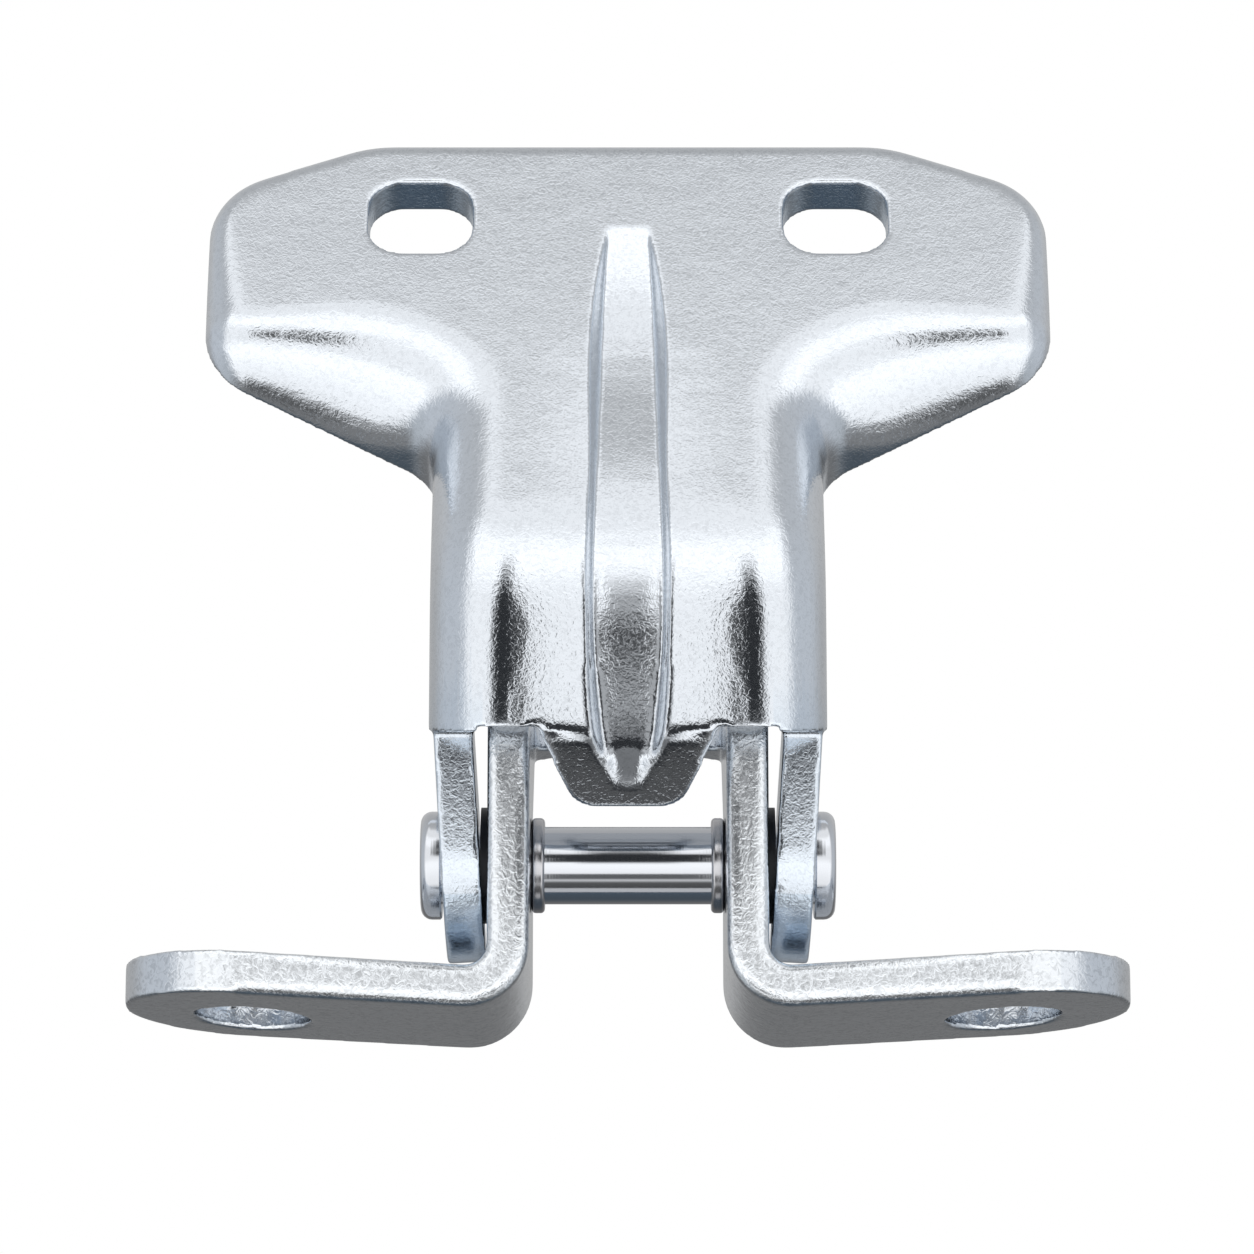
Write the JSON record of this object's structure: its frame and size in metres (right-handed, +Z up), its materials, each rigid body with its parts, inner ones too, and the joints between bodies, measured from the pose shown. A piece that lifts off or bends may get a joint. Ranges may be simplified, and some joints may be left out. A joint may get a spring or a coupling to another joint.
{
  "type": "car door hinge",
  "caption": "Stamped steel car door hinge: a T-shaped door bracket with slotted holes, pinned between the arms of a footed body bracket.",
  "frame": {"origin": "midway between the two foot holes, level with the feet's undersides at those holes, where the bolts clamp the body bracket", "axes": "+X along the hinge pin, +Y back through the arms towards the cross wall, +Z up from the face that the feet are bolted to; the hinge stands open, its plate leaning back"},
  "size_m": [0.1164, 0.0425, 0.1112],
  "materials": {
    "zinc_plated_steel": "bright zinc plating over pressed steel, finely pebbled",
    "pin_steel": "turned and polished",
    "bush_liner": "dark low-friction liner, dull"
  },
  "bodies": {
    "body_side": {"body_bracket": "zinc_plated_steel", "left_bush": "bush_liner", "right_bush": "bush_liner"},
    "door_side": {"door_bracket": "zinc_plated_steel", "hinge_pin": "pin_steel", "left_collar": "pin_steel", "right_collar": "pin_steel"}
  },
  "joints": [
    {"name": "door_swing", "type": "hinge", "parent": "body_side", "child": "door_side", "pos_m": [0, -0.0035, 0.01742], "axis": [1, 0, 0], "range_deg": [-63.3, 11.7]}
  ]
}
